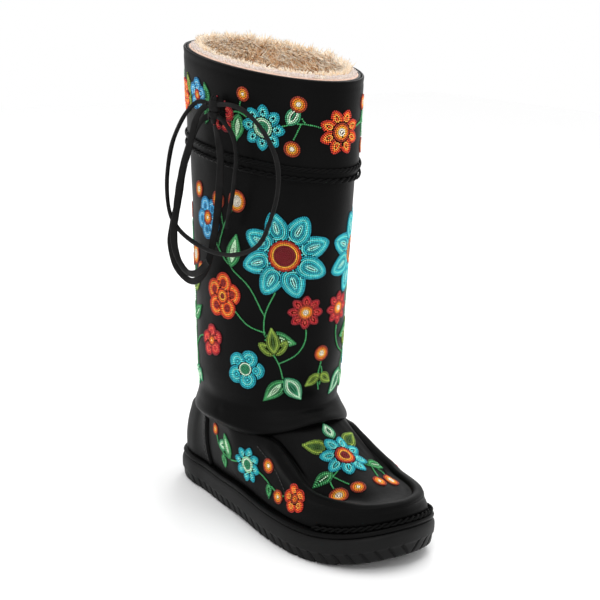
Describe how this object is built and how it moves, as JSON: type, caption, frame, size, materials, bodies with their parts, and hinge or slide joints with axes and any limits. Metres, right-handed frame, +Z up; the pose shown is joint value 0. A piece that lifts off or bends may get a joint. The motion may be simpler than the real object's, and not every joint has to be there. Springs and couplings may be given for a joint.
{
  "type": "mukluk boot",
  "caption": "Knee-high mukluk boot for the right foot: black leather with floral beadwork, moccasin toe, rubber sole, shearling lining and a thong tied in a bow.",
  "frame": {"origin": "on the ground, under the middle of the boot's box without its thong", "axes": "+Z up the leg, toe to -Y, outer side of the right foot to -X"},
  "size_m": [0.1376, 0.2846, 0.395],
  "materials": {
    "rubber": "moulded, dull black",
    "leather": "fine-grained black leather with a soft sheen",
    "braid": "twisted black leather cord",
    "thong": "black suede thong, dull",
    "shearling": "cream shearling wool",
    "footbed": "cream wool felt",
    "beads": "opaque seed beads in turquoise, coral, amber, maroon and green"
  },
  "bodies": {
    "root": {"outsole": "rubber", "welt": "leather", "insole": "footbed", "upper": "leather", "heel_counter": "leather", "shaft": "leather", "cuff": "leather", "cuff_braid_upper": "braid", "cuff_braid_lower": "braid", "toe_whipstitch": "braid", "fleece_lining": "shearling", "tie_knot": "thong", "bow_loop_ring": "thong", "bow_loop_back": "thong", "tie_end_front": "thong", "tie_end_back": "thong"}
  },
  "joints": []
}
